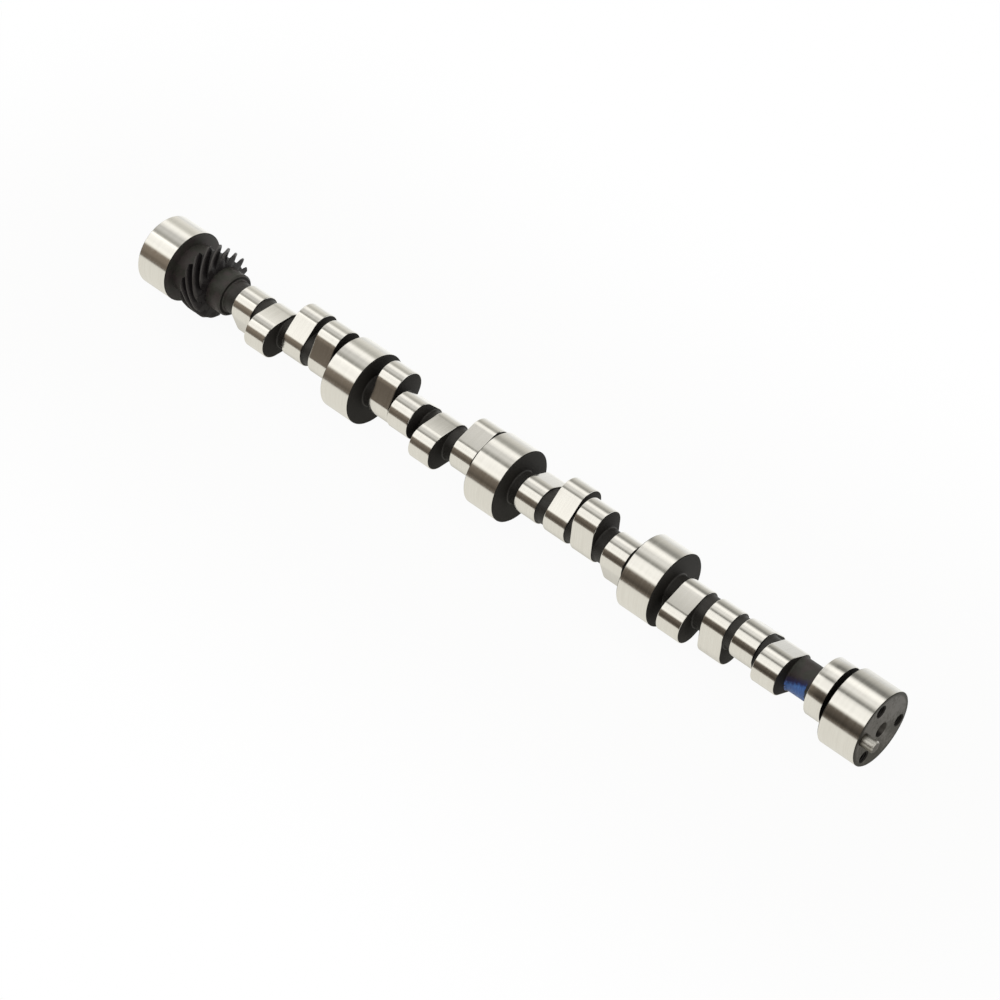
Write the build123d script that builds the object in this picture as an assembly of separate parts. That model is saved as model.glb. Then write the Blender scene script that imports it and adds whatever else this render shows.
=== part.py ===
"""Camshaft of a large V8 engine, with roller-lifter lobes.

One steel bar carries everything: five bearing journals, sixteen lobes, the
fuel pump's eccentric and the gear that drives the distributor. Only the dowel
pin that clocks the timing sprocket is a piece of its own, pressed into the
front face.

Millimetres. The shaft lies along X with its front face at X = 0, facing +X,
and the rest of it runs back along -X. Angles are measured about the shaft,
clockwise as seen from the front, from straight up (+Z).
"""

import os
from math import acos, cos, radians, sin, tan

from build123d import *

# --- The turned bar ---------------------------------------------------------
JOURNAL_R = 24.74        # the five journals share one diameter, 49.48 mm
CORE_R = 11.2            # the bar between lobes
EDGE_CHAMFER = 0.5       # journals and eccentric; the lobes' edges are left sharp
COLLAR_CHAMFER = 1.0

# Journals: the front edge's distance behind the front face, and the width.
FRONT_TO_SECOND = 152.8  # the front journal's face to the second journal's
BORE_PITCH = 122.94      # one pair of cylinders, and so one set of four lobes
FOURTH_TO_REAR = 166.6   # leaves room for the gear in front of the last journal
FRONT_WIDTH = 26.2
MIDDLE_WIDTH = 23.9
REAR_WIDTH = 25.6

# --- The valve lobes --------------------------------------------------------
LOBE_WIDTH = 16.5
BASE_R = 12.7            # the heel, where the valve is shut
LOBE_REACH = 24.3        # axis to the tip of the nose: inside the journal radius
NOSE_R = 12.65           # radius of the nose itself
SET_TO_JOURNAL = 49.3    # middle of a set of four to the next journal's front edge
INNER_OFFSET = 11.0      # a set's two inner lobes, either side of its middle
OUTER_OFFSET = 34.7      # and its two outer ones

FIRING_ORDER = (1, 8, 4, 3, 6, 5, 7, 2)
BANK_ANGLE = 45.0        # each bank of cylinders, from the block's middle
INTAKE_CENTRE = 110.0    # crank degrees after top dead centre
EXHAUST_CENTRE = 118.0   # crank degrees before it
CLOCKING = 16.3          # how far the whole shaft is turned

# --- The fuel pump's eccentric ----------------------------------------------
ECCENTRIC_FRONT = 30.4   # its front face, behind the shaft's front face
ECCENTRIC_WIDTH = 11.5
ECCENTRIC_R = 19.1
ECCENTRIC_THROW = 3.5
ECCENTRIC_ANGLE = 17.0

# --- The distributor gear ---------------------------------------------------
GEAR_TEETH = 13
GEAR_FRONT = 537.1       # front end of the teeth, behind the shaft's front face
GEAR_WIDTH = 16.5
GEAR_TIP_R = 23.5
GEAR_ROOT_R = 18.2
GEAR_AXIAL_PITCH = 6.65  # tooth to tooth along the shaft
TOOTH_TIP_ANGLE = 5.0    # a tooth's width at its tip, in degrees about the shaft
TOOTH_ROOT_ANGLE = 20.0  # and at its root
GEAR_BEVEL = 1.8
GEAR_CLOCKING = 16.3     # the middle of a tooth, at the gear's rear end
COLLAR_R = 14.8          # plain collar between the gear and the last lobe
COLLAR_LENGTH = 12.0
RELIEF_R = 17.2          # the neck between the gear and the rear journal

# --- The front face ---------------------------------------------------------
SPROCKET_BOLTS = 3
BOLT_CIRCLE_R = 18.3
BOLT_ANGLE = -8.3        # the first bolt hole
TAPPED_R = 3.3           # tap drill of a 5/16 in. coarse thread
TAPPED_DEPTH = 19.0
DRILL_POINT = 118.0
DOWEL_R = 3.95           # the free end, which slips into the sprocket
DOWEL_PRESSED_R = 3.75   # the end held in the shaft, ground a little thinner
DOWEL_STANDS_OUT = 8.6
DOWEL_SUNK = 12.0
DOWEL_CHAMFER = 0.9
CENTRE_MOUTH_R = 5.0     # 60 degree centres, which the shaft was ground between
CENTRE_PILOT_R = 2.0
CENTRE_DEPTH = 10.0


def across(x, angle=0.0):
    """Workplane square to the shaft at x, turned so that its own up is at angle."""
    return Plane(origin=(x, 0, 0), x_dir=(0, 1, 0), z_dir=(1, 0, 0)) * Rot(0, 0, -angle)


def disc(x_front, width, radius, bevel):
    """A round of the bar from x_front back, with both its edges bevelled."""
    body = extrude(across(x_front) * Circle(radius), amount=-width)
    if bevel:
        body = chamfer(body.edges().filter_by(GeomType.CIRCLE), bevel)
    return body


def journal_fronts():
    """Front edge of each journal, from the front one to the rear one."""
    fronts = [0.0, -FRONT_TO_SECOND]
    fronts += [fronts[1] - BORE_PITCH, fronts[1] - 2 * BORE_PITCH]
    return fronts + [fronts[-1] - FOURTH_TO_REAR]


def journals():
    widths = [FRONT_WIDTH] + 3 * [MIDDLE_WIDTH] + [REAR_WIDTH]
    return [disc(x, width, JOURNAL_R, EDGE_CHAMFER)
            for x, width in zip(journal_fronts(), widths)]


def lobe_angle(cylinder, valve):
    """Where a lobe's nose points, from its cylinder's turn in the firing order.

    The shaft turns at half the crank's speed, so the eight cylinders fire
    45 degrees of shaft apart and every crank angle is halved.
    """
    bank = BANK_ANGLE if cylinder % 2 else -BANK_ANGLE
    turn = 360.0 / len(FIRING_ORDER) * FIRING_ORDER.index(cylinder)
    centre = -INTAKE_CENTRE / 2 if valve == "intake" else EXHAUST_CENTRE / 2
    return CLOCKING + bank - turn - 180.0 + centre


def lobe_outline():
    """Heel and nose arcs joined by the two straight flanks that touch both."""
    rise = LOBE_REACH - NOSE_R
    lean = acos((BASE_R - NOSE_R) / rise)

    def touch(radius, height, side):
        return (side * radius * sin(lean), height + radius * cos(lean))

    heel_left, heel_right = touch(BASE_R, 0, -1), touch(BASE_R, 0, 1)
    nose_left, nose_right = touch(NOSE_R, rise, -1), touch(NOSE_R, rise, 1)
    return Wire([ThreePointArc(heel_right, (0, -BASE_R), heel_left), Line(heel_left, nose_left),
                 ThreePointArc(nose_left, (0, LOBE_REACH), nose_right),
                 Line(nose_right, heel_right)])


def lobe(x_middle, angle):
    section = across(x_middle + LOBE_WIDTH / 2, angle) * Face(lobe_outline())
    return extrude(section, amount=LOBE_WIDTH, dir=(-1, 0, 0))


def lobes():
    """Four lobes ahead of each journal but the front one, two cylinders' worth."""
    made = []
    for number in range(4):
        middle = journal_fronts()[1] - number * BORE_PITCH + SET_TO_JOURNAL
        odd, even = 2 * number + 1, 2 * number + 2
        made += [lobe(middle + OUTER_OFFSET, lobe_angle(odd, "exhaust")),
                 lobe(middle + INNER_OFFSET, lobe_angle(even, "intake")),
                 lobe(middle - INNER_OFFSET, lobe_angle(odd, "intake")),
                 lobe(middle - OUTER_OFFSET, lobe_angle(even, "exhaust"))]
    return made


def eccentric():
    """A plain disc set off the shaft's middle, which rocks the pump's pushrod."""
    body = disc(-ECCENTRIC_FRONT, ECCENTRIC_WIDTH, ECCENTRIC_R, EDGE_CHAMFER)
    lean = radians(ECCENTRIC_ANGLE)
    return Pos(0, ECCENTRIC_THROW * sin(lean), ECCENTRIC_THROW * cos(lean)) * body


def gear_section():
    """The gear cut square across: straight-sided teeth on a round root."""
    pitch = 360.0 / GEAR_TEETH

    def at(radius, turn):
        return (radius * sin(radians(turn)), radius * cos(radians(turn)))

    edges = []
    for tooth in range(GEAR_TEETH):
        mid = tooth * pitch
        a, b = mid - TOOTH_ROOT_ANGLE / 2, mid - TOOTH_TIP_ANGLE / 2
        c, d = mid + TOOTH_TIP_ANGLE / 2, mid + TOOTH_ROOT_ANGLE / 2
        after = mid + pitch - TOOTH_ROOT_ANGLE / 2
        edges += [Line(at(GEAR_ROOT_R, a), at(GEAR_TIP_R, b)),
                  ThreePointArc(at(GEAR_TIP_R, b), at(GEAR_TIP_R, mid), at(GEAR_TIP_R, c)),
                  Line(at(GEAR_TIP_R, c), at(GEAR_ROOT_R, d)),
                  ThreePointArc(at(GEAR_ROOT_R, d), at(GEAR_ROOT_R, (d + after) / 2),
                                at(GEAR_ROOT_R, after))]
    return Wire(edges)


def gear():
    """Right-hand helical teeth, twisted about the shaft and bevelled at both ends."""
    twist = 360.0 * GEAR_WIDTH / (GEAR_AXIAL_PITCH * GEAR_TEETH)
    outline = across(-GEAR_FRONT - GEAR_WIDTH, GEAR_CLOCKING) * gear_section()
    body = Solid.extrude_linear_with_rotation(
        outline, (-GEAR_FRONT - GEAR_WIDTH, 0, 0), (GEAR_WIDTH, 0, 0), twist)
    return Part() + body & disc(-GEAR_FRONT, GEAR_WIDTH, GEAR_TIP_R + 0.2, GEAR_BEVEL)


def rear_end():
    """What lies between the last lobe and the rear journal, besides the teeth."""
    collar = disc(-GEAR_FRONT + COLLAR_LENGTH, COLLAR_LENGTH, COLLAR_R, COLLAR_CHAMFER)
    relief = -journal_fronts()[-1] - GEAR_FRONT
    return [collar, disc(-GEAR_FRONT, relief, RELIEF_R, 0)]


def centre_hole(x, facing):
    """A centre drilling at x, opening towards facing (+1 front, -1 rear)."""
    cone = (CENTRE_MOUTH_R - CENTRE_PILOT_R) / tan(radians(30))
    profile = Polygon((x, 0), (x, CENTRE_MOUTH_R), (x - facing * cone, CENTRE_PILOT_R),
                      (x - facing * CENTRE_DEPTH, CENTRE_PILOT_R), (x - facing * CENTRE_DEPTH, 0),
                      align=None)
    return revolve(profile, Axis.X)


def on_face(angle):
    """Where the bolt circle crosses an angle on the front face."""
    return Pos(0, BOLT_CIRCLE_R * sin(radians(angle)), BOLT_CIRCLE_R * cos(radians(angle)))


def tapped_hole():
    """A tapped hole's bore and its drill point, on the shaft's middle."""
    point = TAPPED_R / tan(radians(DRILL_POINT / 2))
    profile = Polygon((0, 0), (0, TAPPED_R), (-TAPPED_DEPTH, TAPPED_R),
                      (-TAPPED_DEPTH - point, 0), align=None)
    return revolve(profile, Axis.X)


def dowel_angle():
    """The dowel sits midway between the first bolt hole and the one before it."""
    return BOLT_ANGLE - 180.0 / SPROCKET_BOLTS


def dowel_hole():
    return on_face(dowel_angle()) * disc(0, DOWEL_SUNK, DOWEL_PRESSED_R, 0)


def camshaft():
    rear = journal_fronts()[-1] - REAR_WIDTH
    bar = disc(-FRONT_WIDTH / 2, -rear - FRONT_WIDTH / 2 - REAR_WIDTH / 2, CORE_R, 0)
    body = bar + journals() + lobes() + [eccentric()] + rear_end() + [gear()]
    holes = [on_face(BOLT_ANGLE + 360.0 / SPROCKET_BOLTS * n) * tapped_hole()
             for n in range(SPROCKET_BOLTS)]
    return body - holes - [dowel_hole(), centre_hole(0, 1), centre_hole(rear, -1)]


def dowel_pin():
    """A ground pin: a plain free end with a bevelled tip, on the end held in the shaft."""
    free = disc(DOWEL_STANDS_OUT, DOWEL_STANDS_OUT, DOWEL_R, 0)
    free = chamfer(free.edges().sort_by(Axis.X)[-1:], DOWEL_CHAMFER)
    return on_face(dowel_angle()) * (free + disc(0, DOWEL_SUNK, DOWEL_PRESSED_R, 0))


os.makedirs("parts", exist_ok=True)
for name, make in (("camshaft", camshaft), ("dowel_pin", dowel_pin)):
    shape = make()
    export_step(shape, f"parts/{name}.step")
    print(name, round(shape.volume), "mm3", shape.bounding_box())
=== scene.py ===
# %% [markdown]
# # A V8 camshaft
#
# The part is one long steel bar with everything a valve train needs ground or
# cut on it: five bearing journals, sixteen lobes, an eccentric for the fuel
# pump and a helical gear for the distributor. A dowel pin in the front face
# clocks the timing sprocket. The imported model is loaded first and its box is
# kept, because nothing made here may reach outside it.

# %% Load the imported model
from math import cos, degrees, pi, radians, sin, tan

import bpy
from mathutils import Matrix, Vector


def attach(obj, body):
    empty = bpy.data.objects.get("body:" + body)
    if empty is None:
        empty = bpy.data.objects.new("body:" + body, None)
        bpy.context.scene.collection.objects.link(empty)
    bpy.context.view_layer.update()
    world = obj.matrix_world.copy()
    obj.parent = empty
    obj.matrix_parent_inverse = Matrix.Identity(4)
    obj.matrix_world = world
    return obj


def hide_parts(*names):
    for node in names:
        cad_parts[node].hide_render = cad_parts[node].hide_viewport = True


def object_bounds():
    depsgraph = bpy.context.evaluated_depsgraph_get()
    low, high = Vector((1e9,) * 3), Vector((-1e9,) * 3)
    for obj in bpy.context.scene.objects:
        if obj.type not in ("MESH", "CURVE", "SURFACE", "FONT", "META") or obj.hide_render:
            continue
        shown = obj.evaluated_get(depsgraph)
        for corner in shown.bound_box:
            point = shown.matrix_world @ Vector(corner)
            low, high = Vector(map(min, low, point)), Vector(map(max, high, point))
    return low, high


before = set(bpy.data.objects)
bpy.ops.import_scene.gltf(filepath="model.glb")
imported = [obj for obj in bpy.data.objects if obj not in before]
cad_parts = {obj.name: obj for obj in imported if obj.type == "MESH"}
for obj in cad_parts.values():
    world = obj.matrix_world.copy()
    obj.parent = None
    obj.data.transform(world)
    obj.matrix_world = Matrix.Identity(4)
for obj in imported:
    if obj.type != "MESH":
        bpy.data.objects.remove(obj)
cad_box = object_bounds()
MM = 0.001
print("nodes:", sorted(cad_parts), "box:", [[round(v / MM, 1) for v in c] for c in cad_box])

# %% [markdown]
# ## The camera
#
# A shaft this slender is best seen from above and from the side of its front
# end, with a long lens that keeps the far journals nearly as large as the near
# ones. The shaft lies level, so the camera needs only a place and a direction,
# and the rotation that tracks the direction keeps the horizon level.

# %% Camera
from mathutils import Vector

EYE = Vector((553.04, -907.82, 1292.29)) * MM
LOOK = Vector((-0.46746, 0.50209, -0.72759))
LENS = 106.19

camera = bpy.data.objects.new("camera", bpy.data.cameras.new("camera"))
bpy.context.scene.collection.objects.link(camera)
camera.location = EYE
camera.rotation_euler = LOOK.to_track_quat("-Z", "Y").to_euler()
camera.data.lens, camera.data.sensor_width = LENS, 36
camera.data.clip_start, camera.data.clip_end = 0.01, 50
bpy.context.scene.camera = camera
bpy.context.scene.view_settings.view_transform = "Standard"
print("camera at", [round(v, 3) for v in EYE], "with a lens of", LENS)

# %% [markdown]
# ## Writing node trees as sums
#
# Shaders and Geometry Nodes are both built from Math nodes, and a tree of
# those is hard to read back from code that links them one by one. The small
# class below wraps an output socket and overloads the arithmetic operators, so
# that `1 - mask` adds a Math node by itself. Every other node comes from one
# method that takes its type, its settings and what goes into its sockets.

# %% The socket class
class Wire:
    """One output socket. Sums and comparisons of wires add Math nodes to their tree."""

    def __init__(self, out):
        self.out, self.tree = out, out.id_data

    def math(self, operation, *others):
        """A Math node with this wire and the others in its sockets."""
        return Tree(self.tree).node("ShaderNodeMath", {"operation": operation},
                                    dict(enumerate((self,) + others)))[0]

    def __add__(self, other):
        return self.math("ADD", other)

    def __sub__(self, other):
        return self.math("SUBTRACT", other)

    def __mul__(self, other):
        return self.math("MULTIPLY", other)

    def __truediv__(self, other):
        return self.math("DIVIDE", other)

    def __lt__(self, other):
        return self.math("LESS_THAN", other)

    def __gt__(self, other):
        return self.math("GREATER_THAN", other)

    def __rsub__(self, other):
        return -self + other

    def __neg__(self):
        return self * -1

    def __abs__(self):
        return self.math("ABSOLUTE")

    __radd__, __rmul__ = __add__, __mul__


print("sockets add, subtract, multiply, divide and compare")

# %% [markdown]
# The second class is the tree itself. Besides the method for any node, it has
# the few that come up again and again: taking a vector apart and putting one
# together, a ramp of colours, and a mix by a mask.

# %% The tree class
class Tree:
    """A node tree to build in. Every method gives back output wires."""

    def __init__(self, tree):
        self.tree = tree

    def node(self, kind, settings=None, sockets=None):
        """Adds a node, with its settings and with a wire or a value for each socket named."""
        made = self.tree.nodes.new(kind)
        for name, value in (settings or {}).items():
            setattr(made, name, value)
        for name, value in (sockets or {}).items():
            if isinstance(value, Wire):
                self.tree.links.new(value.out, made.inputs[name])
            else:
                made.inputs[name].default_value = value
        return [Wire(out) for out in made.outputs]

    def split(self, vector):
        """The three parts of a vector."""
        return self.node("ShaderNodeSeparateXYZ", {}, {0: vector})

    def join(self, x, y, z):
        """A vector of three parts."""
        return self.node("ShaderNodeCombineXYZ", {}, {0: x, 1: y, 2: z})[0]

    def ramp(self, factor, stops):
        """A Color Ramp whose stops are {position: colour}."""
        made = self.tree.nodes.new("ShaderNodeValToRGB")
        ramp = made.color_ramp
        places = sorted(stops)
        while len(ramp.elements) < len(places):
            ramp.elements.new(0.5)
        for element, place in zip(ramp.elements, places):
            element.position = place
        for element, place in zip(ramp.elements, places):
            element.color = (*stops[place], 1.0)
        self.tree.links.new(factor.out, made.inputs[0])
        return Wire(made.outputs[0])

    def mix(self, factor, first, second):
        """Two colours mixed by a mask."""
        return self.node("ShaderNodeMix", {"data_type": "RGBA"}, {0: factor, 6: first, 7: second})[2]


def smooth(wire, low, high):
    """0 below low and 1 above high, with soft ends."""
    return Tree(wire.tree).node("ShaderNodeMapRange", {"interpolation_type": "SMOOTHSTEP"},
                                {"Value": wire, "From Min": low, "From Max": high})[0]


print("trees take nodes, ramps, mixes and soft steps")

# %% [markdown]
# ## The studio
#
# Polished steel shows little of its own: what is seen on it is the room. A
# cylinder that lies along X mirrors the room as a fan of directions round the
# X axis, so the room is written in the same way, as bands by the angle round
# that axis. Broad soft lights run along the shaft, with a thin gap between the
# two overhead and a greyer wall behind, and the camera's side of the room is
# dark near the horizon. That dark strip is what draws the brown line along
# every journal. The shaft's front end stands nearest to the dark panels, so
# each band has a gain that makes it deeper or brighter towards that end.
#
# The world could also be built from lamps and cards. Bands by angle are
# simpler to set one by one, and give no noise.

# %% World
# The tints of the light, from nearly clear to brown.
CLEAR, WHITE, CREAM, BROWN = (1, 1, .97), (1, .98, .92), (1, .975, .885), (1, .83, .65)

# Degrees round X from straight up (positive towards +Y), the brightness and tint
# there, and how many times as bright the band is again at the shaft's front end.
BANDS = [(-180, .87, CREAM, 1), (-104, .87, CREAM, 1), (-98, .27, BROWN, 1.1), (-91, .17, BROWN, .87),
         (-81, .083, BROWN, .5), (-72, .13, BROWN, .55), (-63, .155, BROWN, .62), (-56, .18, BROWN, .68),
         (-50.5, 1, CREAM, .92), (-47, 1.18, WHITE, 1), (-36, 1.05, WHITE, 1), (-22, 1.11, WHITE, .96),
         (-13, 1.15, WHITE, .73), (-9.5, .33, CREAM, .68), (-6, .26, CREAM, .76), (-1, .47, CREAM, 1.1),
         (8, .79, WHITE, 1.22), (17, .73, WHITE, 1.27), (24, 1, WHITE, 1.17), (33, 1.18, WHITE, 1.06),
         (40, 1.03, WHITE, .89), (48, .41, CREAM, .5), (57, .36, CREAM, .55), (66, .51, CREAM, .72),
         (76, .66, CREAM, .8), (90, .79, WHITE, .88), (180, .87, CREAM, 1)]
# The X part of the directions that the steel mirrors: at the middle of the
# shaft, and how far it changes from there to either end.
MIDDLE, HALF_SPREAD = -0.46, 0.12


def tone(brightness, tint):
    """The tint at this brightness."""
    return [brightness * part for part in tint]


world = bpy.data.worlds.new("studio")
bpy.context.scene.world = world
world.use_nodes = True
world.node_tree.nodes.clear()
room = Tree(world.node_tree)
direction = room.split(room.node("ShaderNodeTexCoord")[0])
around = direction[1].math("ARCTAN2", direction[2]) / (2 * pi) + 0.5
bands = room.ramp(around, {(at + 180) / 360: tone(level, tint) for at, level, tint, gain in BANDS})
gains = room.ramp(around, {(at + 180) / 360: (gain, gain, gain) for at, level, tint, gain in BANDS})
# From -1 at the rear end to 1 at the front one: the power that each gain is raised to.
to_front = ((direction[0] - MIDDLE) / HALF_SPREAD).math("MAXIMUM", -1.0).math("MINIMUM", 1.0)
mirrored = room.node("ShaderNodeVectorMath", {"operation": "SCALE"}, {
    0: bands, "Scale": gains.math("POWER", to_front)})[0]
seen = room.node("ShaderNodeLightPath")[0]
light = room.node("ShaderNodeBackground", {}, {
    "Color": room.mix(seen, mirrored, (1, 1, 1, 1)), "Strength": 1.0})[0]
room.node("ShaderNodeOutputWorld", {}, {"Surface": light})
print("world with", len(BANDS), "bands")

# %% [markdown]
# ## The floor
#
# The shaft rests on its five journals on a white table. The table is a matt
# sheet that glows for the camera and for mirror reflections, so that it stays
# white while the shaft's soft shadow still shows on it. What mirrors see of the
# glow is a painted reflection with painted shade in it, and the lower half of
# every journal shows it: warm on the camera's side out to a dark far edge, a
# painted contact shadow right under the steel, and whitest just behind it,
# apart from the front end, where a patch of painted shade dims it again. The
# camera itself sees plain white, with a trace of shadow near the shaft that
# fades further out.

# %% Floor
# Metres across the floor, positive towards +Y, the brightness and the tint there
# of the painted reflection that mirror rays see.
PAINTED_FLOOR_TONES = [(-0.62, .12, BROWN), (-0.38, .87, CREAM), (-0.024, .87, CREAM), (-0.006, .66, CREAM),
               (0.006, .74, CREAM), (0.02, 1, WHITE), (0.05, 1.12, CLEAR), (0.11, 1.1, CLEAR),
               (0.22, .95, CLEAR), (0.45, .84, CLEAR)]
REACH = 0.7
# Where the patch of painted shade in the mirrored floor behind the front end
# begins and is full, how much it slants across the floor, and how much light it loses.
FRONT_PATCH, PATCH_SLANT, PATCH_LOSS = (-0.13, -0.03), 0.38, 0.1
# Half the shaft, and how far from it the camera's trace of shadow fades out.
HALF_LENGTH, SHADOW_FADE = 0.295, (0.06, 0.32)
# How much of the sheet's look is glow, near the shaft for the camera and in mirrors.
CAMERA_GLOW, MIRROR_GLOW = 0.95, 0.88
FLOOR_DROP, FLOOR_HALF = 0.0002, 6
floor_z = cad_box[0].z - FLOOR_DROP
mesh = bpy.data.meshes.new("floor")
corners = ((-1, -1), (1, -1), (1, 1), (-1, 1))
mesh.from_pydata([(x * FLOOR_HALF, y * FLOOR_HALF, floor_z) for x, y in corners], [], [(0, 1, 2, 3)])
floor = bpy.data.objects.new("floor", mesh)
bpy.context.scene.collection.objects.link(floor)

paper = bpy.data.materials.new("white_table")
paper.use_nodes = True
paper.node_tree.nodes.clear()
tree = Tree(paper.node_tree)
path = tree.node("ShaderNodeLightPath")
camera_ray, glossy_ray = path[0], path[3]
x, y, _ = tree.split(tree.node("ShaderNodeTexCoord")[3])
beyond = (abs(x + HALF_LENGTH) - HALF_LENGTH).math("MAXIMUM", 0.0)
away = smooth((beyond * beyond + y * y).math("SQRT"), *SHADOW_FADE)
# Painted reflection for mirror rays, with a dark far edge of painted shade and a painted contact shadow
# under the steel.
across = tree.ramp((y + REACH) / (2 * REACH), {
    (at / REACH + 1) / 2: tone(level, tint) for at, level, tint in PAINTED_FLOOR_TONES})
# Painted shade: mirror rays see the floor dimmer behind the front end.
patch = smooth(x + y * PATCH_SLANT, *FRONT_PATCH) * (y > 0.0) * (1 - camera_ray)
glow = tree.node("ShaderNodeEmission", {}, {
    "Color": tree.mix(camera_ray, across, (1, 1, 1, 1)), "Strength": 1 - patch * PATCH_LOSS})[0]
matt = tree.node("ShaderNodeBsdfDiffuse", {}, {"Color": (.66, .66, .65, 1)})[0]
share = camera_ray * (away * (1 - CAMERA_GLOW) + CAMERA_GLOW) + glossy_ray * MIRROR_GLOW
surface = tree.node("ShaderNodeMixShader", {}, {0: share, 1: matt, 2: glow})[0]
tree.node("ShaderNodeOutputMaterial", {}, {"Surface": surface})
mesh.materials.append(paper)
print("floor at", round(floor_z / MM, 2), "mm")

# %% [markdown]
# ## Finishes
#
# A new camshaft has two finishes. After machining, the whole bar is dipped in
# a manganese phosphate bath, which leaves a matt black coat that holds oil.
# Then the journals, lobes and eccentric are ground on a wheel, which cuts
# through the coat to bright steel with very fine lines round the shaft.
#
# Both read Object coordinates, so the grain stays at the same size on every
# piece. The helpers below make a material from a function that fills its
# shader's sockets, and give the place on the piece in millimetres.

# %% Material helper
def finish(name, build):
    """A material whose Principled shader is filled in by build(tree) -> sockets."""
    material = bpy.data.materials.new(name)
    material.use_nodes = True
    material.node_tree.nodes.clear()
    tree = Tree(material.node_tree)
    shader = tree.node("ShaderNodeBsdfPrincipled", {}, build(tree))[0]
    tree.node("ShaderNodeOutputMaterial", {}, {"Surface": shader})
    print("finish", name)
    return material


def place(tree):
    """Object coordinates in millimetres, as three wires."""
    return [axis / MM for axis in tree.split(tree.node("ShaderNodeTexCoord")[3])]


def noise(tree, vector, scale, detail):
    """Smooth noise around 0.5 in one channel."""
    return tree.node("ShaderNodeTexNoise", {}, {"Vector": vector, "Scale": scale, "Detail": detail})[0]


def bump(tree, height, strength, distance):
    """A normal that is tilted by a height, with the full distance in metres."""
    return tree.node("ShaderNodeBump", {}, {
        "Height": height, "Strength": strength, "Distance": distance})[0]


print("finishes are made by functions")

# %% [markdown]
# A grinding wheel leaves fine lines that run round the shaft, in passes a
# millimetre or so wide that are a little brighter or duller than each other.
# Anisotropy would blur the highlights the same way, but it bakes badly, so the
# lines are drawn: noise squeezed along X and stretched round the shaft.

# %% Ground steel
def ground(tree):
    """Bright steel with grinding lines: journals, lobe rims and the eccentric."""
    x, y, z = place(tree)
    lines = noise(tree, tree.join(x * 6, y * 0.1, z * 0.1), 1.0, 4.0)
    passes = smooth(noise(tree, tree.join(x * 1.3, y * 0.03, z * 0.03), 1.0, 3.0), 0.38, 0.62)
    patches = noise(tree, tree.join(x * 0.3, y * 0.15, z * 0.15), 1.0, 2.0)
    tint = tree.mix(patches * 0.6 + passes * 0.4, (.79, .775, .745, 1), (.87, .86, .835, 1))
    return {"Base Color": tint, "Metallic": 1.0,
            "Roughness": lines * 0.07 + passes * 0.03 + patches * 0.05 + 0.06,
            "Normal": bump(tree, lines * 0.6 + passes * 0.4, 0.3, 0.000012)}


ground_steel = finish("ground_steel", ground)

# %% [markdown]
# The coat is not a flat black. It is a crust of tiny crystals, a little browner
# and paler in patches where it is thin. The sides of the lobes and journals
# take it evenly and go nearly black. The core between them was only
# rough-turned, so it stays greyer and its tool rings show through.

# %% Black phosphate
def crust(tree, deep, pale):
    """Crystal grain, and the coat's colour between a deep and a pale black."""
    spot = tree.join(*place(tree))
    grain = noise(tree, spot, 2.2, 6.0)
    clouds = noise(tree, spot, 0.12, 3.0)
    return grain, tree.mix(grain * 0.5 + clouds * 0.5, deep, pale)


def coated(tree):
    """The deep black of the lobes' and journals' sides and of the holes."""
    grain, coat = crust(tree, (.0065, .0058, .0052, 1), (.024, .0215, .0195, 1))
    return {"Base Color": coat, "Roughness": 0.56 + grain * 0.16,
            "Specular IOR Level": 0.28, "Normal": bump(tree, grain, 0.5, 0.00004)}


black_phosphate = finish("black_phosphate", coated)

# %% [markdown]
# Between the lobes the coat is painted deeper, as painted shade from the lobes
# on either side, while the open stretches at both ends are left paler, with a
# faint film of oil. In the front one the maker dabs a stroke of blue paint to
# tell one grind from another. The dab is a mask on the core's coat: a stretch
# along the shaft times a stretch round it, with noise in both distances so
# that its edges look brushed. Its upper edge slants, and a thinner, darker wash
# runs out above it where the brush went dry.

# %% Coated core, with the dab of paint
# Millimetres along the shaft, and degrees round it from straight up.
PAINT_X, PAINT_ANGLE = (-60.4, -46.8), (-124, -52)
PAINT_SLANT, PAINT_EDGE, WASH_WIDTH = 1.8, 8, 26
# Where the painted shade between the lobes gives way to the open stretches, at the front and at the rear.
OPEN_FRONT, OPEN_REAR = (-70, -64), (-526, -518)


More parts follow.
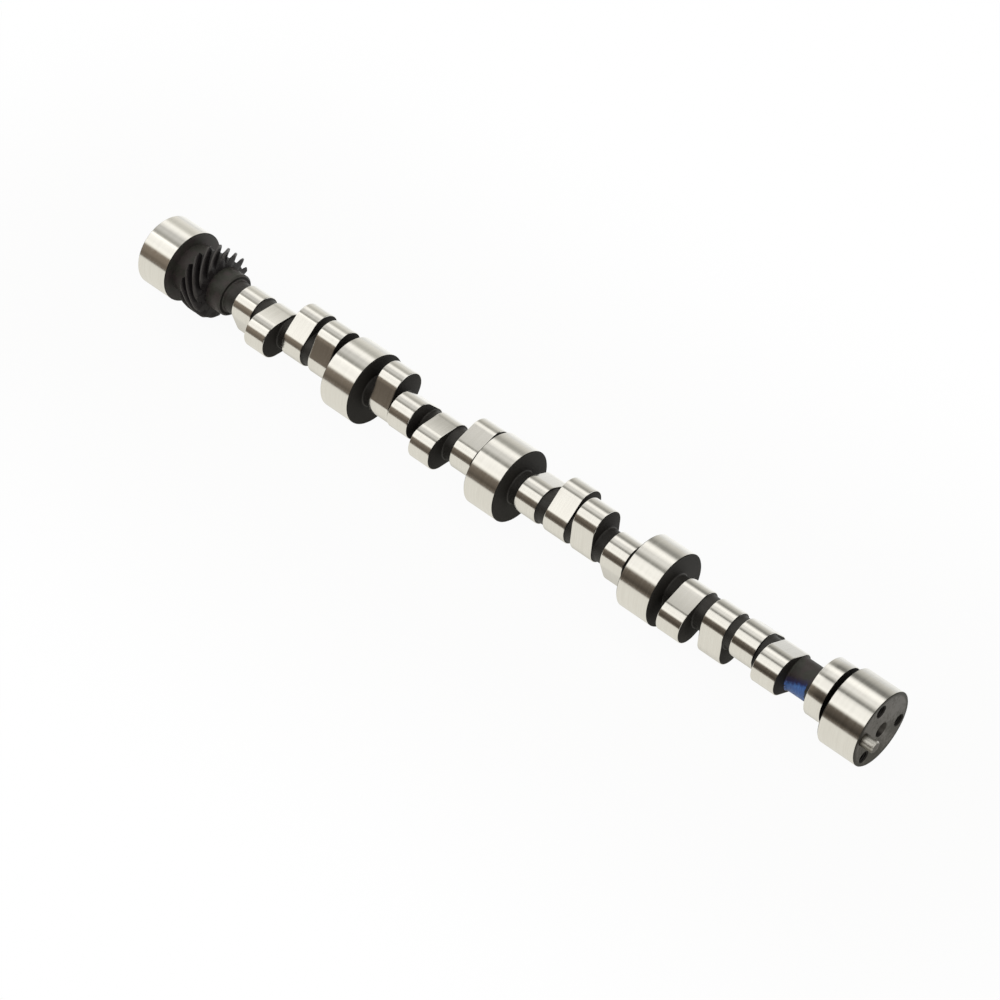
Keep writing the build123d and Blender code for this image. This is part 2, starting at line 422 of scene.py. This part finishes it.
def core_coat(tree):
    """The core's greyer black, with painted shade between the lobes, paler at both ends, and the dab of
    blue.
    """
    x, y, z = place(tree)
    spot = tree.join(x, y, z)
    film = smooth(noise(tree, spot, 0.16, 2.0), 0.42, 0.58)
    # Painted shade: the core between the lobes takes the deeper colour, and the open stretches take the
    # paler film.
    unshaded_ends = smooth(x, *OPEN_FRONT) + 1 - smooth(x, *OPEN_REAR)
    open_film = tree.mix(film, (.064, .066, .055, 1), (.084, .066, .068, 1))
    grain, coat = crust(tree, (.013, .012, .011, 1), tree.mix(unshaded_ends, (.032, .029, .027, 1), open_film))
    rings = noise(tree, tree.join(x * 2.6, y * 0.05, z * 0.05), 1.0, 2.0)
    wobble = (noise(tree, spot, 0.55, 3.0) - 0.5) * 5
    angle = y.math("ARCTAN2", z) * degrees(1)
    slanted = angle - (x - PAINT_X[1]) * PAINT_SLANT
    low, high = PAINT_ANGLE
    along = smooth(x + wobble, PAINT_X[0] - 0.6, PAINT_X[0]) * (
        1 - smooth(x + wobble * 1.4, PAINT_X[1] - 0.5, PAINT_X[1] + 0.5))
    above = smooth(angle + wobble * 4, low - PAINT_EDGE, low + PAINT_EDGE)
    dab = along * above * (1 - smooth(slanted + wobble * 4, high - PAINT_EDGE, high + PAINT_EDGE))
    thin = along * above * (1 - smooth(slanted + wobble * 5, high + PAINT_EDGE / 2, high + WASH_WIDTH))
    brushed = smooth(noise(tree, tree.join(x * 2.2, angle * 0.05, 0.0), 1.0, 2.0), 0.35, 0.7)
    paint = tree.mix(brushed, (.055, .16, .6, 1), (.11, .3, .8, 1))
    wash = tree.mix(thin * 0.75, coat, (.028, .024, .13, 1))
    return {"Base Color": tree.mix(dab, wash, paint), "Roughness": 0.42 + grain * 0.16 - dab * 0.12,
            "Specular IOR Level": 0.5,
            "Normal": bump(tree, grain * 0.4 + rings * (1.2 - dab), 0.5, 0.00006)}


core_finish = finish("coated_core", core_coat)

# %% [markdown]
# The gear's teeth are cut smooth by the hob, so their coat is finer and has a
# little sheen. Towards the tips it is painted paler and a little smoother, a
# painted highlight where the ridges catch the light. The distance from the axis
# says where the tips are.

# %% Coated teeth
# Millimetres from the axis where the painted highlight on the teeth begins and is full.
TIP_HIGHLIGHT = (21.4, 23.3)


def tooth_coat(tree):
    """The gear's black, with a painted highlight towards the tips."""
    x, y, z = place(tree)
    radius = (y * y + z * z).math("SQRT")
    speckle = (noise(tree, tree.join(x, y, z), 0.9, 4.0) - 0.5) * 3
    # Painted highlight: paler and smoother towards the tips, darker in the roots.
    tip_highlight = smooth(radius + speckle, *TIP_HIGHLIGHT)
    grain, coat = crust(tree, (.007, .006, .0068, 1), (.022, .0185, .021, 1))
    return {"Base Color": tree.mix(tip_highlight * 0.6, coat, (.088, .081, .081, 1)),
            "Roughness": 0.46 + grain * 0.12 - tip_highlight * 0.08, "Specular IOR Level": 0.36,
            "Normal": bump(tree, grain, 0.4, 0.00003)}


tooth_finish = finish("coated_teeth", tooth_coat)

# %% [markdown]
# The front face is turned after the dip, so it is bare but dull: grey steel
# with fine rings from the tool, stained where the bath ran back over it and
# darkest at its rim. The rings are noise read along the distance from the
# axis, which Object coordinates give directly. The lower half of the grinding
# centre is darkened as painted shade. The dowel is bought in, ground all over
# and a little duller than the journals, and painted shade darkens its root and
# its low side.

# %% Turned face and dowel
# The dark rim's radii, the centre's mouth, and where painted shade darkens the centre's lower half.
DARK_RIM, CENTRE_CONE, CENTRE_SHADE = (23.4, 25.0), 4.99, (0.3, 2.5)
# Millimetres where painted shade darkens the dowel: out from the face at its root, and along its low side.
ROOT_SHADE, LOW_SIDE_SHADE = (0.2, 3.8), (12.0, 13.6)


def low_side(y, z):
    """How far a point lies towards the low side, which painted shade darkens."""
    return -(y * 0.82 + z * 0.57)


def turned_face(tree):
    """Dull, stained steel with rings from the tool, and painted shade in the centre's lower half."""
    x, y, z = place(tree)
    spot = tree.join(x, y, z)
    radius = (y * y + z * z).math("SQRT")
    mottle = noise(tree, spot, 0.5, 5.0) * 0.5 + noise(tree, spot, 0.07, 2.0) * 0.5
    rings = noise(tree, tree.join(radius * 7, 0.0, 0.0), 1.0, 2.0)
    stain = smooth(mottle + z * 0.005 - y * 0.001, 0.37, 0.6)
    face = tree.mix(stain, (.066, .063, .053, 1), (.17, .162, .154, 1))
    rim = smooth(radius + mottle * 3, *DARK_RIM)
    face = tree.mix(rim * 0.85, face, (.038, .036, .03, 1))
    # Painted shade: the lower half of the centre cone is darker.
    cone_shade = smooth(low_side(y, z), *CENTRE_SHADE)
    cone = tree.mix(cone_shade, (.085, .08, .074, 1), (.016, .014, .012, 1))
    return {"Base Color": tree.mix(radius < CENTRE_CONE, face, cone), "Metallic": 0.5,
            "Roughness": 0.42 + rings * 0.16, "Specular IOR Level": 0.25,
            "Normal": bump(tree, rings, 0.5, 0.00003)}


def pin_steel(tree):
    """Ground steel, darkened as painted shade at the root and down the low side."""
    x, y, z = place(tree)
    lines = noise(tree, tree.join(x * 3, y * 0.5, z * 0.5), 1.0, 4.0)
    steel = tree.mix(lines, (.52, .51, .485, 1), (.68, .67, .64, 1))
    # Painted shade: the pin is darker at its root and down its low side.
    unshaded_pin = smooth(x, *ROOT_SHADE) * (1 - smooth(low_side(y, z) + lines * 0.6, *LOW_SIDE_SHADE))
    return {"Base Color": tree.mix(unshaded_pin, (.15, .14, .12, 1), steel), "Metallic": 1.0,
            "Roughness": lines * 0.1 + 0.34, "Normal": bump(tree, lines, 0.3, 0.00001)}


faced_steel = finish("faced_steel", turned_face)
dowel_steel = finish("dowel_steel", pin_steel)

# %% [markdown]
# ## The turned bar
#
# Everything round and concentric is one turning: the journals, the core
# between the lobes, the collar ahead of the gear and the neck behind it. A
# lathe part is drawn as half its section, and the section is swept round the
# axis. Spin would do it, but it leaves a seam to merge, so the rings are
# written straight into a mesh that closes on itself.
#
# The sizes are those of the solid model, in millimetres back from the front
# face. A small radius is left where the core meets each wall, as a turning
# tool leaves it.

# %% Where each feature stands along the shaft
JOURNAL_R = 24.74        # all five journals
CORE_R = 11.2            # the bar between lobes
BORE_PITCH = 122.94      # one pair of cylinders, and so one set of four lobes
SECOND = -152.8          # front edges: of the second journal, the fourth and the last
FOURTH = SECOND - 2 * BORE_PITCH
REAR = FOURTH - 166.6
JOURNALS = [(0.0, 26.2), (SECOND, 23.9), (SECOND - BORE_PITCH, 23.9), (FOURTH, 23.9), (REAR, 25.6)]
LOBE_WIDTH = 16.5
SET_TO_JOURNAL = 49.3    # middle of a set of four lobes to the front edge of the journal behind
INNER, OUTER = 11.0, 34.7  # a set's lobes, either side of its middle
ECCENTRIC_FRONT, ECCENTRIC_WIDTH = -30.4, 11.5
GEAR_FRONT, GEAR_WIDTH = -537.1, 16.5
COLLAR_R, COLLAR_LENGTH, COLLAR_BEVEL = 14.8, 12.0, 1.0
NECK_R = 17.2            # under the gear and behind it

lobe_middles = [SECOND - gap * BORE_PITCH + SET_TO_JOURNAL + step
                for gap in range(4) for step in (OUTER, INNER, -INNER, -OUTER)]
print("lobes at", [round(x, 1) for x in lobe_middles])

# %% [markdown]
# The section is a list of points from the front centre back to the rear one.
# Each point also says which finish the band that follows it has. The core runs
# under the lobes, and between two walls it is the same stretch every time, so
# one function writes it for each gap.

# %% Half section of the bar
COAT, BRIGHT, FACED, CORE = range(4)  # the bar's finishes, by their place in its list
EDGE = 0.5               # how much of a journal's edge is broken
ROOT = 0.85              # radius where the core meets a wall
INTO_GEAR = 1.0          # how far the collar runs into the gear
CENTRE_MOUTH, CENTRE_PILOT, CENTRE_DEPTH = 5.0, 2.0, 10.0
CENTRE_HALF_ANGLE = radians(30)


def rounded(x, r, dx, dr, size, band, steps=4):
    """Points of a quarter circle from (x, r + dr * size) to (x + dx * size, r)."""
    angles = [pi / 2 * step / steps for step in range(steps + 1)]
    return [(x + dx * size * (1 - cos(angle)), r + dr * size * (1 - sin(angle)), band)
            for angle in angles]


def core_between(front, rear):
    """The core from one wall back to the next, with a small radius at both."""
    ahead = rounded(front, CORE_R, -1, 1, ROOT, CORE)
    behind = rounded(rear, CORE_R, 1, 1, ROOT, CORE)[1:]
    return ahead + behind[::-1] + [(rear, CORE_R + ROOT, COAT)]


def journal_section(front, width):
    """A journal's rim, with its two edges broken."""
    rear, low = front - width, JOURNAL_R - EDGE
    wall = FACED if front == 0.0 else COAT
    return [(front, low, wall), (front - EDGE, JOURNAL_R, BRIGHT), (rear + EDGE, JOURNAL_R, COAT),
            (rear, low, COAT)]


def centre_section(x, facing, wall):
    """A grinding centre from its bottom out to its mouth."""
    cone = (CENTRE_MOUTH - CENTRE_PILOT) / tan(CENTRE_HALF_ANGLE)
    return [(x - facing * CENTRE_DEPTH, 0.0, COAT), (x - facing * CENTRE_DEPTH, CENTRE_PILOT, COAT),
            (x - facing * cone, CENTRE_PILOT, wall), (x, CENTRE_MOUTH, wall)]


def bar_section():
    """The bar's whole half section, from the front centre to the rear one."""
    blocks = [(x + LOBE_WIDTH / 2, x - LOBE_WIDTH / 2, []) for x in lobe_middles]
    blocks.append((ECCENTRIC_FRONT, ECCENTRIC_FRONT - ECCENTRIC_WIDTH, []))
    blocks += [(x, x - width, journal_section(x, width)) for x, width in JOURNALS[:4]]
    blocks.sort(reverse=True)
    collar = GEAR_FRONT + COLLAR_LENGTH
    walls = [front for front, _, _ in blocks[1:]] + [collar]
    points = centre_section(0.0, 1, FACED)
    for (_, rear, rim), wall in zip(blocks, walls):
        points += rim + core_between(rear, wall)
    points += [(collar, COLLAR_R - COLLAR_BEVEL, CORE), (collar - COLLAR_BEVEL, COLLAR_R, CORE),
               (GEAR_FRONT - INTO_GEAR, COLLAR_R, CORE), (GEAR_FRONT - INTO_GEAR, NECK_R, CORE),
               (REAR, NECK_R, CORE)]
    front, width = JOURNALS[4]
    return points + journal_section(front, width) + centre_section(front - width, -1, COAT)[::-1]


section = bar_section()
print("section of", len(section), "points")

# %% [markdown]
# The sweep gives every point a ring round the axis, and a single vertex where
# the point is on the axis. Faces between a ring and a single vertex come out
# as triangles, so both ends close.

# %% Sweep the section round the axis
BAR_SIDES = 160


def turned(name, section, around, materials):
    """A closed turning about X. Each point is (x, radius, finish of the band after it)."""
    points, bands, rings, faces, slots = [], [], [], [], []
    for x, radius, band in section:
        rings.append(range(len(points), len(points) + (around if radius > 0 else 1)))
        points += [(x * MM, radius * MM * sin(2 * pi * k / around), radius * MM * cos(2 * pi * k / around))
                   for k in range(len(rings[-1]))]
        bands.append(band)
    for first, second, band in zip(rings, rings[1:], bands):
        for k in range(around):
            a, b = first[k % len(first)], first[(k + 1) % len(first)]
            c, d = second[(k + 1) % len(second)], second[k % len(second)]
            faces.append([v for n, v in enumerate((a, b, c, d)) if v not in (a, b, c, d)[:n]])
            slots.append(band)
    mesh = bpy.data.meshes.new(name)
    mesh.from_pydata(points, [], faces)
    for material in materials:
        mesh.materials.append(material)
    mesh.polygons.foreach_set("material_index", slots)
    made = bpy.data.objects.new(name, mesh)
    bpy.context.scene.collection.objects.link(made)
    return made


def soften(piece, angle=32):
    """Smooth shading, with an edge kept wherever the surface turns by more than angle."""
    piece.data.polygons.foreach_set("use_smooth", [True] * len(piece.data.polygons))
    piece.data.set_sharp_from_angle(angle=radians(angle))
    piece.data.update()
    print(piece.name, "has", len(piece.data.vertices), "vertices and", len(piece.data.polygons), "faces")
    return piece


def off_axis(piece, distance, angle):
    """Moves a mesh away from the axis, in millimetres and by an angle from straight up."""
    for vertex in piece.data.vertices:
        vertex.co += Vector((0, distance * sin(angle), distance * cos(angle))) * MM
    return piece


bar = turned("shaft_bar", section, BAR_SIDES, [black_phosphate, ground_steel, faced_steel, core_finish])
print("bar swept in", len(bar.data.polygons), "faces")

# %% [markdown]
# ## Geometry Nodes for what follows a rule
#
# Three features repeat by a rule: the tapped holes on their bolt circle, the
# lobes in firing order and the teeth of the gear. Each gets a Geometry Nodes
# tree with its sizes as named inputs. The helper below opens a tree, and the
# next one runs it on an object and turns what comes out into a plain mesh,
# because a finished piece should carry no live tree.

# %% Tree helpers
def new_tree(name, sizes):
    """An empty Geometry Nodes tree, and its input wires by name."""
    tree = bpy.data.node_groups.new(name, "GeometryNodeTree")
    for side in ("INPUT", "OUTPUT"):
        tree.interface.new_socket("Geometry", in_out=side, socket_type="NodeSocketGeometry")
    for size, value in sizes.items():
        kind = "NodeSocketInt" if isinstance(value, int) else "NodeSocketFloat"
        tree.interface.new_socket(size, in_out="INPUT", socket_type=kind).default_value = value
    builder = Tree(tree)
    return builder, dict(zip(("Geometry", *sizes), builder.node("NodeGroupInput")))


def close_tree(builder, geometry, *materials):
    """Scale to metres, realize, and set each (material, where) in turn."""
    scaled = builder.node("GeometryNodeTransform", {}, {"Geometry": geometry, "Scale": (MM, MM, MM)})[0]
    done = builder.node("GeometryNodeRealizeInstances", {}, {0: scaled})[0]
    for material, where in materials:
        done = builder.node("GeometryNodeSetMaterial", {}, {
            "Geometry": done, "Material": material, "Selection": where})[0]
    builder.node("NodeGroupOutput", {}, {0: done})
    return builder.tree


def grow(name, tree, sizes, carrier=None):
    """Runs a tree with these sizes and returns an object with the finished mesh."""
    piece = bpy.data.objects.new(name, carrier or bpy.data.meshes.new(name + "_carrier"))
    bpy.context.scene.collection.objects.link(piece)
    modifier = piece.modifiers.new("rule", "NODES")
    modifier.node_group = tree
    for item in tree.interface.items_tree:
        if item.in_out == "INPUT" and item.name in sizes:
            modifier[item.identifier] = sizes[item.name]
    graph = bpy.context.evaluated_depsgraph_get()
    mesh = bpy.data.meshes.new_from_object(piece.evaluated_get(graph), depsgraph=graph)
    piece.modifiers.clear()
    piece.data = mesh
    return piece


def ring_point(tree):
    """Position on a unit cylinder: sideways, up and along."""
    return tree.split(tree.node("GeometryNodeInputPosition")[0])


def from_axis(px, py):
    """How far out a point of the unit cylinder is: 1 on its rings, 0 at its two ends' middles."""
    return (px * px + py * py).math("SQRT")


def cylinder(tree, around, along):
    """A closed unit cylinder with this many sides round it and segments along it."""
    return tree.node("GeometryNodeMeshCylinder", {"fill_type": "TRIANGLE_FAN"}, {
        "Vertices": around, "Side Segments": along, "Radius": 1.0, "Depth": 1.0})[0]


def moved(tree, geometry, x, y, z):
    """The geometry with every point at its new place."""
    return tree.node("GeometryNodeSetPosition", {}, {
        "Geometry": geometry, "Position": tree.join(x, y, z)})[0]


print("tree helpers ready")

# %% [markdown]
# ## The tapped holes
#
# Three screws hold the timing sprocket. Their threads are real helices: how
# deep a thread is cut at a point depends only on the distance down the hole
# less the share of a turn, so one formula on the rings of a cylinder gives the
# whole thread. The result is the shape of the tap, and a Boolean takes it out
# of the bar, as the tap does.

# %% Tree for the taps
TAP = {"Pitch": 1.411, "Minor radius": 3.3, "Thread depth": 0.6, "Depth": 19.0, "Mouth radius": 4.3,
       "Bolt circle": 18.3, "Holes": 3, "First angle": radians(-8.3)}
PROUD = 0.5              # how far a cutter stands out of the face
THREAD_FLAT = 0.1        # share of the half pitch that is flat at the crest, and at the root
TURNS_UNCUT = 2          # turns left plain at the bottom of the hole
DRILL_POINT = 0.6        # height of the drill's point over its radius
TAP_SIDES, TAP_SEGMENTS = 36, 110


def tap_tree():
    """The three taps, each a threaded plug with a drill point and a wide mouth."""
    tree, size = new_tree("tapped_holes", TAP)
    px, py, pz = ring_point(tree)
    down = (0.5 - pz) * (size["Depth"] + PROUD) - PROUD
    phase = (down / size["Pitch"] - py.math("ARCTAN2", px) / (2 * pi)).math("FRACT")
    flank = (abs(phase - 0.5) * 2 - THREAD_FLAT) / (1 - 2 * THREAD_FLAT)
    flank = flank.math("MAXIMUM", 0.0).math("MINIMUM", 1.0)
    threaded = down < size["Depth"] - size["Pitch"] * TURNS_UNCUT
    cut = size["Minor radius"] + size["Thread depth"] * flank * threaded
    radius = cut.math("MAXIMUM", size["Mouth radius"] - down)
    point = (1 - from_axis(px, py)) * (pz < 0) * size["Minor radius"] * DRILL_POINT
    tap = moved(tree, cylinder(tree, TAP_SIDES, TAP_SEGMENTS), -down - point, px * radius, py * radius)

    centres = tree.node("GeometryNodeMeshCircle", {}, {"Vertices": size["Holes"]})[0]
    index = tree.node("GeometryNodeInputIndex")[0]
    angle = index / size["Holes"] * (2 * pi) + size["First angle"]
    centres = moved(tree, centres, 0.0, angle.math("SINE") * size["Bolt circle"],
                    angle.math("COSINE") * size["Bolt circle"])
    taps = tree.node("GeometryNodeInstanceOnPoints", {}, {"Points": centres, "Instance": tap})[0]
    return close_tree(tree, taps, (black_phosphate, True))


taps = grow("taps", tap_tree(), TAP)
print("taps:", len(taps.data.polygons), "faces")

# %% [markdown]
# The dowel's hole is drilled on the same circle. Its cutter is a small turning
# with a bevel at its mouth, a touch wider than the pin. All cutters stand proud
# of the face, so that no face of theirs lies in it.

# %% Cut the holes into the bar
DOWEL_R, DOWEL_ANGLE = 3.95, radians(-68.3)
DOWEL_OUT, DOWEL_SUNK = 8.6, 12.0
HOLE_R, HOLE_BEVEL, HOLE_SIDES = DOWEL_R + 0.02, 0.2, 48

dowel_hole = off_axis(turned("dowel_hole", [
    (PROUD, 0.0, 0), (PROUD, HOLE_R + HOLE_BEVEL, 0), (0.0, HOLE_R + HOLE_BEVEL, 0),
    (-HOLE_BEVEL, HOLE_R, 0), (-DOWEL_SUNK, HOLE_R, 0), (-DOWEL_SUNK, 0.0, 0)],
    HOLE_SIDES, [faced_steel]), TAP["Bolt circle"], DOWEL_ANGLE)


def cut_out(piece, cutters):
    """Takes the cutters out of a piece, one Boolean each, and removes them."""
    for cutter in cutters:
        modifier = piece.modifiers.new("cut", "BOOLEAN")
        modifier.operation, modifier.solver, modifier.object = "DIFFERENCE", "EXACT", cutter
        modifier.material_mode = "TRANSFER"
    graph = bpy.context.evaluated_depsgraph_get()
    mesh = bpy.data.meshes.new_from_object(piece.evaluated_get(graph), depsgraph=graph)
    piece.modifiers.clear()
    piece.data = mesh
    for cutter in cutters:
        bpy.data.objects.remove(cutter)
    return piece


soften(cut_out(bar, [taps, dowel_hole]))

# %% [markdown]
# ## The lobes
#
# A lobe pushes its lifter up once in every turn of the shaft. Its outline is
# two arcs, the heel round the axis and the nose further out, joined by straight
# flanks that touch both. A circle cut along its middle and pulled apart is
# exactly that: the nose half of a cylinder's rings moves out by the rise, and
# the two long faces left between the halves are the flanks.
#
# Where each nose points follows the engine. The shaft turns at half the
# crank's speed, so eight cylinders in firing order stand 45 degrees apart, the
# bank adds or takes 45 more, and the valve's centre line gives the rest. The
# angles go in as an attribute on sixteen points, and the tree puts a lobe on
# each.

# %% Nose angles from the firing order
FIRING_ORDER = (1, 8, 4, 3, 6, 5, 7, 2)
CYLINDER_STEP, BANK = 45.0, 45.0
INTAKE, EXHAUST = 110.0, 118.0  # crank degrees from top dead centre to each centre line
CLOCKING = 16.3          # how far the whole shaft is turned


def nose_angle(number):
    """Degrees from straight up, clockwise from the front, of lobe 0 to 15."""
    gap, step = divmod(number, 4)
    cylinder_number = 2 * gap + (1, 2, 1, 2)[step]
    centre = -INTAKE / 2 if step in (1, 2) else EXHAUST / 2
    bank = BANK if cylinder_number % 2 else -BANK
    return CLOCKING + bank - CYLINDER_STEP * FIRING_ORDER.index(cylinder_number) - 180 + centre


carrier = bpy.data.meshes.new("lobe_places")
carrier.from_pydata([(x, 0, 0) for x in lobe_middles], [], [])
noses = [nose_angle(number) for number in range(len(lobe_middles))]
carrier.attributes.new("nose", "FLOAT", "POINT").data.foreach_set("value", [radians(a) for a in noses])
print("noses at", [round(angle % 360) for angle in noses])

# %% [markdown]
# The rings of a lobe's blank are all spent on its two rounded edges: the outer
# three of each half go round the edge, and the fourth stands just inside them
# and keeps the ground rim flat in between. What looks along the shaft is a side
# and stays black.

# %% Tree for the lobes
LOBE = {"Width": LOBE_WIDTH, "Heel radius": 12.7, "Nose radius": 12.65, "Reach": 24.3, "Edge": 0.4}
LOBE_SIDES, LOBE_SEGMENTS = 180, 7
EDGE_FROM, EDGE_TO = 3 / 14, 7 / 14  # the blank's rings where an edge begins and ends
INSIDE = 0.4             # how far inside the edge the innermost ring stands, over its size
SIDE_FACING = 0.97       # how squarely a side looks along the shaft


def lobe_tree():
    """Sixteen lobes on the carrier's points, each turned to its nose angle."""
    tree, size = new_tree("lobes", LOBE)
    px, py, pz = ring_point(tree)
    nose = py > 0.0001
    turn = (abs(pz) - EDGE_FROM).math("MAXIMUM", 0.0) * (pi / 2 / (EDGE_TO - EDGE_FROM))
    inset = size["Edge"] * (1 - turn.math("COSINE"))
    innermost = abs(pz) < EDGE_FROM / 2
    back = size["Edge"] * (1 - turn.math("SINE") + innermost * INSIDE)
    along = pz.math("SIGN") * (size["Width"] / 2 - back)
    radius = size["Heel radius"] + (size["Nose radius"] - size["Heel radius"]) * nose - inset
    rise = (size["Reach"] - size["Nose radius"]) * nose
    blank = moved(tree, cylinder(tree, LOBE_SIDES, LOBE_SEGMENTS), along, px * radius,
                  py * radius + rise)
    angle = tree.node("GeometryNodeInputNamedAttribute", {"data_type": "FLOAT"}, {"Name": "nose"})[0]
    points = tree.node("GeometryNodeMeshToPoints", {}, {"Mesh": size["Geometry"]})[0]
    lobes = tree.node("GeometryNodeInstanceOnPoints", {}, {
        "Points": points, "Instance": blank, "Rotation": tree.join(-angle, 0.0, 0.0)})[0]
    facing = abs(tree.split(tree.node("GeometryNodeInputNormal")[0])[0])
    return close_tree(tree, lobes, (ground_steel, True), (black_phosphate, facing > SIDE_FACING))


lobes = soften(grow("lobes", lobe_tree(), LOBE, carrier))

# %% [markdown]
# ## The fuel pump's eccentric
#
# Behind the front journal a plain round disc stands off-centre and rocks the
# fuel pump's rod. It is a turning of its own, made on the axis and then moved
# by its throw.

# %% Eccentric
ECCENTRIC_R, ECCENTRIC_EDGE, THROW, THROW_ANGLE = 19.1, 0.4, 3.5, radians(17)


def disc_section(front, width, radius, edge):
    """Half section of a disc with rounded edges, ground on its rim only."""
    rear = front - width
    ahead = rounded(front, radius, -1, -1, edge, BRIGHT)
    behind = rounded(rear, radius, 1, -1, edge, BRIGHT)
    rear_side = [(rear, radius - edge, COAT), (rear, 0.0, COAT)]
    return [(front, 0.0, COAT)] + ahead + behind[:0:-1] + rear_side


disc = disc_section(ECCENTRIC_FRONT, ECCENTRIC_WIDTH, ECCENTRIC_R, ECCENTRIC_EDGE)
eccentric = turned("pump_eccentric", disc, BAR_SIDES, [black_phosphate, ground_steel])
soften(off_axis(eccentric, THROW, THROW_ANGLE))

# %% [markdown]
# ## The distributor gear
#
# Thirteen right-hand helical teeth turn the distributor. A helical gear is one
# tooth outline that turns steadily as it moves along the shaft, so the rings
# of a cylinder are given the outline by their angle and a twist by their
# place. The columns of the mesh then run along the teeth and keep the tooth
# edges crisp. A Float Curve holds the flank's shape, with a fillet at the root
# and a slight belly, as a hob leaves it. Both ends are bevelled.

# %% Tree for the gear
GEAR = {"Teeth": 13, "Width": GEAR_WIDTH, "Root radius": 18.2, "Tip radius": 23.5, "Axial pitch": 6.65,
        "Tip share": 0.09, "Root share": 0.361, "Bevel": 1.6, "First tooth": radians(16.3)}
# The tip and root shares are parts of the pitch, from a tooth's middle to where
# its tip ends and its root begins. Of the mesh's columns from a tooth's middle to
# the next gap's, one sixth lie on the tip and three sixths on the flank.
COLUMNS, GEAR_SEGMENTS = 24, 26
TIP_END, FLANK_END = 1 / 6, 4 / 6
# From the tip's edge down to the root: the share of the flank, and the height left.
FLANK_SHAPE = [(0.0, 1.0), (0.3, 0.74), (0.7, 0.33), (0.9, 0.08), (1.0, 0.0)]


def gear_tree():
    """The gear as one cylinder, given its teeth and twisted."""
    tree, size = new_tree("helical_gear", GEAR)
    px, py, pz = ring_point(tree)
    column = (px.math("ARCTAN2", py) / (2 * pi) * size["Teeth"] * COLUMNS + 0.5).math("FLOOR")
    share = abs((column / COLUMNS + 0.5).math("FRACT") - 0.5) * 2
    on_tip = share.math("MINIMUM", TIP_END) / TIP_END
    on_flank = ((share - TIP_END) / (FLANK_END - TIP_END)).math("MAXIMUM", 0.0).math("MINIMUM", 1.0)
    on_root = (share - FLANK_END).math("MAXIMUM", 0.0) / (1 - FLANK_END)
    off_middle = (on_tip * size["Tip share"] + on_flank * (size["Root share"] - size["Tip share"])
                  + on_root * (0.5 - size["Root share"]))
    side = (column / COLUMNS + 0.5).math("FRACT") - 0.5
    tooth = (column / COLUMNS + 0.5).math("FLOOR") + off_middle * side.math("SIGN")
    height = tree.node("ShaderNodeFloatCurve", {}, {"Value": on_flank})[0]
    mapping = height.out.node.mapping
    shape = mapping.curves[0].points
    shape[0].location, shape[1].location = FLANK_SHAPE[0], FLANK_SHAPE[-1]
    for across, left in FLANK_SHAPE[1:-1]:
        shape.new(across, left)
    mapping.update()

    along = (pz - 0.5) * size["Width"]
    radius = size["Root radius"] + (size["Tip radius"] - size["Root radius"]) * height
    end = (0.5 - abs(pz)) * size["Width"]
    radius = radius.math("MINIMUM", size["Tip radius"] - size["Bevel"] + end) * from_axis(px, py)
    twisted = tooth - (along + size["Width"]) / size["Axial pitch"]
    turn = twisted / size["Teeth"] * (2 * pi) + size["First tooth"]
    blank = cylinder(tree, GEAR["Teeth"] * COLUMNS, GEAR_SEGMENTS)
    gear = moved(tree, blank, along + GEAR_FRONT, radius * turn.math("SINE"), radius * turn.math("COSINE"))
    return close_tree(tree, gear, (tooth_finish, True))


gear = soften(grow("distributor_gear", gear_tree(), GEAR), angle=40)

# %% [markdown]
# ## The dowel pin
#
# The pin's free end is bevelled to lead the sprocket on, and its tip is cropped
# and left dull.

# %% Dowel
PIN, CROPPED = 0, 1
LEAD_DEPTH, LEAD_LENGTH, TIP_ROUND = 0.6, 0.9, 0.25
DOWEL_SIDES = 64

tip = [(DOWEL_OUT, 0.0, CROPPED)] + rounded(DOWEL_OUT, DOWEL_R - LEAD_DEPTH, -1, -1, TIP_ROUND, PIN)
stem = [(DOWEL_OUT - LEAD_LENGTH, DOWEL_R, PIN), (-DOWEL_SUNK, DOWEL_R, PIN), (-DOWEL_SUNK, 0.0, PIN)]
dowel = turned("dowel", tip + stem, DOWEL_SIDES, [dowel_steel, faced_steel])
soften(off_axis(dowel, TAP["Bolt circle"], DOWEL_ANGLE))

# %% [markdown]
# ## The pieces on the shaft's body
#
# Every piece rides on the one body of the shaft and stands for its solid.

# %% Ride and replace
for piece in (bar, lobes, eccentric, gear):
    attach(piece, "root")
    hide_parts("camshaft")
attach(dowel, "root")
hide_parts("dowel_pin")
